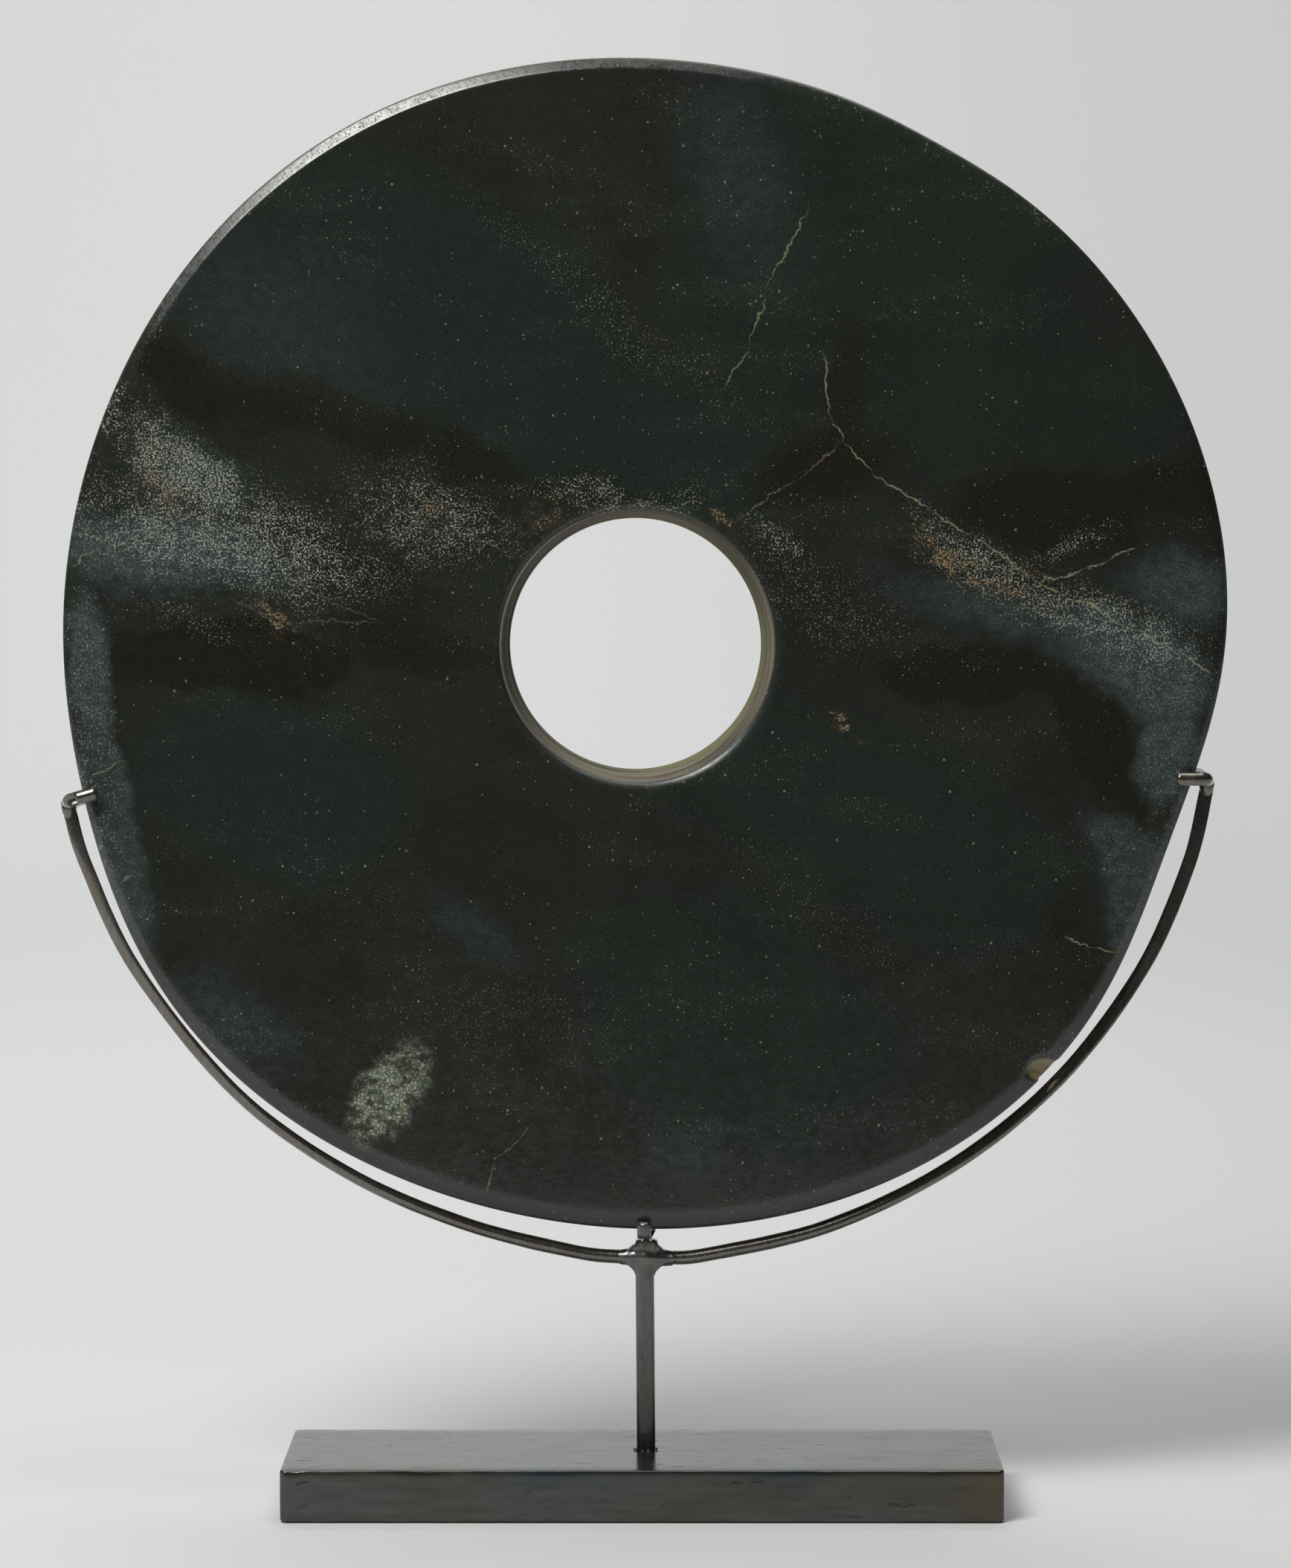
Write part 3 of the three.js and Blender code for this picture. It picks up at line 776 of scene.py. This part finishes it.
def crack_mask(points, width, strength, dots):
    """Where a healed crack runs through the given points, broken into dots by a share."""
    inside = None
    for (from_x, from_z), (to_x, to_z) in zip(points, points[1:]):
        run = oval(jitter, (from_x + to_x) / 2, (from_z + to_z) / 2,
                   math.hypot(to_x - from_x, to_z - from_z) * 0.56 + width, width,
                   math.degrees(math.atan2(from_z - to_z, to_x - from_x)))
        inside = run if inside is None else sums(tree, "MAXIMUM", inside, run)
    mask = ramp(tree, inside, 0.0, 0.6, 0.0, strength)
    return sums(tree, "MULTIPLY", mask, ramp(tree, salt_noise.outputs[0], 0.4, 0.55, 1 - dots, 1.0))


OLIVE, FAINT = linear(136, 138, 106), linear(96, 98, 86)
CREAM, RUSTY = linear(150, 150, 126), linear(122, 106, 88)
# the healed cracks: the points each runs through, its width, strength and colour, and how dotted it is
CRACKS = [
    ([(35.9, 276.4), (25.9, 257.2), (22.1, 246), (16.8, 236.7)], 0.25, 0.75, OLIVE, 0.7),
    ([(38.2, 245.6), (40, 230.3), (43.1, 225.4), (48.5, 219.2), (61.4, 211.7), (69.2, 206.4), (83.5, 197)],
     0.27, 0.75, OLIVE, 0.45),
    ([(84.2, 197), (93.4, 199.2), (98.4, 201), (104.1, 204.2)], 0.3, 0.7, CREAM, 0.8),
    ([(83.5, 197), (88.5, 194.2), (103.4, 187), (112.7, 182), (121.2, 177)], 0.3, 0.9, OLIVE, 0.5),
    ([(41.7, 225.4), (33.4, 218.5), (20.2, 210)], 0.3, 0.7, RUSTY, 0.95),
    ([(89.4, 121.8), (95.3, 119.1), (101.4, 118.3)], 0.22, 0.7, OLIVE, 0.6),
    ([(-119.6, 208.3), (-113, 205), (-107.8, 204.7), (-100, 208.3)], 0.24, 0.6, OLIVE, 0.8),
    ([(-121, 199), (-114.5, 204.2)], 0.24, 0.6, OLIVE, 0.8),
    ([(-117.6, 155.8), (-109.3, 158.5)], 0.24, 0.7, OLIVE, 0.6),
    ([(-111, 133.1), (-107.6, 134.5)], 0.22, 0.5, OLIVE, 0.6),
    ([(-33.4, 66.5), (-30.8, 74.4), (-23.4, 81.8)], 0.22, 0.5, OLIVE, 0.8),
    ([(-87.9, 193.6), (-77.2, 188.6), (-54.4, 187.9)], 0.3, 0.5, FAINT, 0.9),
    ([(-77.2, 199.3), (-65, 192), (-54.4, 187.9)], 0.26, 0.5, FAINT, 0.7),
    ([(-37.3, 207.9), (-28, 202.2)], 0.26, 0.6, FAINT, 0.7),
    ([(107.5, 152.8), (114, 151.8)], 0.3, 0.6, FAINT, 0.3),
]
for points, width, strength, colour, dots in CRACKS:
    tone = blend(tree, crack_mask(points, width, strength, dots), tone, colour)

# the large pale crystal cluster, leaf-shaped
leaf = stain(pushed(near_push, tiny_push), -53.8, 88.2, 10.5, 6.0, -58, 0.34, 1)
leaf_cells = add(tree, "ShaderNodeTexVoronoi", {"Vector": slab_spot, "Scale": 1.2},
                 feature="DISTANCE_TO_EDGE")
leaf_tone = blend(tree, ramp(tree, leaf_cells.outputs["Distance"], 0.0, 0.3), linear(84, 92, 76),
                  linear(158, 164, 144))
leaf_mask = sums(tree, "MULTIPLY", leaf, ramp(tree, grain_fine.outputs[0], 0.38, 0.58, 0.2, 0.9))
tone = blend(tree, leaf_mask, tone, leaf_tone)

# where the rim is thin, light soaks in and the stone shows olive: a painted glow of that light in the colour;
# the drilled wall is duller and browner
from_axis = vectors("SUBTRACT", place, (DISC_X / MM, 0, DISC_Z / MM))
flat_axis = vectors("MULTIPLY", from_axis, IN_PLANE)
axis_gap = add(tree, "ShaderNodeVectorMath", {0: flat_axis}, operation="LENGTH").outputs["Value"]
depth = add(tree, "ShaderNodeSeparateXYZ", {0: place}).outputs[1]
# painted light: olive glow of light through the thin rim
rim_glow_painted = sums(tree, "MULTIPLY", ramp(tree, depth, -5.7, -5.1), ramp(tree, depth, 5.4, 4.6))
rim_glow_painted = sums(tree, "MULTIPLY", rim_glow_painted, ramp(tree, axis_gap, 100.0, 110.0))
rim_glow_painted = sums(tree, "MULTIPLY", rim_glow_painted, ramp(tree, grain_run.outputs[0], 0.35, 0.6, 0.25, 0.6))
tone = blend(tree, rim_glow_painted, tone, linear(92, 93, 64))
bevel = sums(tree, "MULTIPLY", ramp(tree, oval(place, -44, 288, 78, 34, -25), 0.0, 0.2),
             ramp(tree, depth, -6.46, -6.3))
bevel = sums(tree, "MULTIPLY", bevel, ramp(tree, depth, -3.5, -4.6))
bevel_pits = sums(tree, "MULTIPLY", bevel, ramp(tree, salt_noise.outputs[0], 0.5, 0.68))
chip_mask = ramp(tree, oval(place, CHIP_X, CHIP_Z, 4.0, 2.8, 0), 0.0, 0.3, 0.0, 0.9)
chip_mask = sums(tree, "MULTIPLY", chip_mask, ramp(tree, depth, 1.0, 0.0))
tone = blend(tree, chip_mask, tone, linear(128, 118, 80))
wall_mask = ramp(tree, axis_gap, 29.1, 28.5)
rings = clouds(tree, place, 1.3, detail=3.0, rough=0.7, stretch=(0.03, 1, 0.03))
wall_tone = blend(tree, ramp(tree, rings.outputs[0], 0.35, 0.65), linear(52, 47, 36), linear(116, 108, 88))
wall_tone = blend(tree, ramp(tree, axis_gap, 27.5, 26.7), wall_tone, linear(98, 98, 60))
tone = blend(tree, sums(tree, "MULTIPLY", wall_mask, 0.9), tone, wall_tone)
tree.links.new(tone, shader.inputs["Base Color"])
shader.inputs["Metallic"].default_value = 0.0
shader.inputs["IOR"].default_value = 1.61
dull = sums(tree, "ADD", sums(tree, "MULTIPLY", wall_mask, 0.6), sums(tree, "MULTIPLY", bevel_pits, 0.35))
dull = sums(tree, "ADD", dull, sums(tree, "MULTIPLY", bevel, 0.07))
dull = sums(tree, "ADD", dull, ramp(tree, axis_gap, 31.5, 29.5, 0.0, 0.16))
tree.links.new(sums(tree, "ADD", ramp(tree, grain_fine.outputs[0], 0.3, 0.7, 0.15, 0.24), dull),
               shader.inputs["Roughness"])
polish = clouds(tree, slab_spot, 0.9, detail=2.0, rough=0.6)
bump = add(tree, "ShaderNodeBump", {"Strength": 0.35, "Distance": 0.00006, "Height": polish.outputs[0]})
tree.links.new(bump.outputs[0], shader.inputs["Normal"])
disc.data.materials.clear()
disc.data.materials.append(jade)
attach(disc, "root")
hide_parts("jade_disc")

# The room: a pale table that sweeps up behind, a soft box high on the left in front, a broad soft light
# overhead, and dark space in front of the table, so that the polished face stays deep.

TABLE_WIDTH, TABLE_DEPTH, TABLE_MIDDLE_Y = 3.6, 2.32, 0.74
SWEEP_TURNS, SWEEP_STEP = 12, 0.06
WALL_HEIGHT = 1.4
# the table's paint is darker than the wall's as painted shade
TABLE_PAINT_SHADED, WALL_PAINT = (0.575, 0.577, 0.575, 1), (0.765, 0.768, 0.765, 1)
WALL_LIGHT = (0.2, 0.2, 0.2, 1)
BLACK = (0, 0, 0, 1)

bpy.ops.object.select_all(action="DESELECT")
bpy.ops.mesh.primitive_plane_add(size=1, location=(0, TABLE_MIDDLE_Y, -0.0002), scale=(1, 1, 1))
floor = bpy.context.object
floor.name = "table_sweep"
bpy.ops.object.mode_set(mode="EDIT")
bpy.ops.mesh.select_all(action="SELECT")
bpy.ops.transform.resize(value=(TABLE_WIDTH, TABLE_DEPTH, 1))
pick(floor, "edges", lambda e: all(v.co.y > 0.9 for v in e.verts))
for step in range(SWEEP_TURNS):
    tilt = math.radians(90) * (step + 0.5) / SWEEP_TURNS
    bpy.ops.mesh.extrude_region_move(
        TRANSFORM_OT_translate={"value": (0, SWEEP_STEP * math.cos(tilt), SWEEP_STEP * math.sin(tilt))})
bpy.ops.mesh.extrude_region_move(TRANSFORM_OT_translate={"value": (0, 0, WALL_HEIGHT)})
bpy.ops.object.mode_set(mode="OBJECT")
bpy.ops.object.transform_apply(location=True, rotation=True, scale=True)
bpy.ops.object.shade_smooth()
sweep_paint_and_painted_light, tree, shader, place = new_material("sweep_paint_and_painted_light")
# the table is painted a little darker than up the wall, and both darker to the right: painted shade; the wall
# glows a little: painted light
spot = add(tree, "ShaderNodeSeparateXYZ", {0: place})
across, back = spot.outputs[0], spot.outputs[1]
# painted shade: the paper and its glow darken towards the right
painted_shade_right = ramp(tree, across, -120.0, 300.0, 0.0, 0.1)
paint_and_shade = blend(tree, ramp(tree, back, 0.0, 1050.0), TABLE_PAINT_SHADED, WALL_PAINT)
tree.links.new(blend(tree, painted_shade_right, paint_and_shade, BLACK), shader.inputs["Base Color"])
# painted light: the wall's paper gives off light of its own, though it is no lamp
glow = blend(tree, ramp(tree, back, 700.0, 2400.0), BLACK, WALL_LIGHT)
tree.links.new(blend(tree, painted_shade_right, glow, BLACK), shader.inputs["Emission Color"])
shader.inputs["Emission Strength"].default_value = 1.0
shader.inputs["Roughness"].default_value = 0.85
shader.inputs["Specular IOR Level"].default_value = 0.2
sweep_paint_and_painted_light.cycles.emission_sampling = "NONE"  # a weak, broad glow, so no rays are aimed at it
floor.data.materials.append(sweep_paint_and_painted_light)


def soft_box(name, place, look_at, width, height, watts, colour=(1, 1, 1)):
    """A rectangular soft light that faces a point."""
    lamp = bpy.data.lights.new(name, "AREA")
    lamp.shape = "RECTANGLE"
    lamp.size, lamp.size_y = width, height
    lamp.energy = watts
    lamp.color = colour
    box = bpy.data.objects.new(name, lamp)
    bpy.context.scene.collection.objects.link(box)
    box.location = place
    box.rotation_euler = (Vector(look_at) - Vector(place)).to_track_quat("-Z", "Y").to_euler()
    return box


soft_box("key_soft_box", (-0.548, -0.757, 1.177), (0, 0, 0.18), 0.6, 0.6, 20.5, (1.0, 0.985, 0.965))
soft_box("overhead_soft_box", (0.1, 0.55, 1.75), (0, 0.5, 0), 2.4, 1.1, 24.5, (0.985, 0.99, 1.0))
world = bpy.data.worlds.new("studio_dark")
world.use_nodes = True
world.node_tree.nodes["Background"].inputs["Color"].default_value = (0.9, 0.95, 1.0, 1)
world.node_tree.nodes["Background"].inputs["Strength"].default_value = 0.05
bpy.context.scene.world = world
bpy.context.scene.view_settings.view_transform = "Standard"

camera_data = bpy.data.cameras.new("camera")
camera_data.lens = 127.7
camera_data.sensor_width = 36
camera_data.dof.use_dof = False
camera = bpy.data.objects.new("camera", camera_data)
bpy.context.scene.collection.objects.link(camera)
camera.location = (0.0049, -1.18, 0.2224)
camera.rotation_euler = (math.pi / 2 - 0.0582, 0.0005, 0.0035)
bpy.context.scene.camera = camera
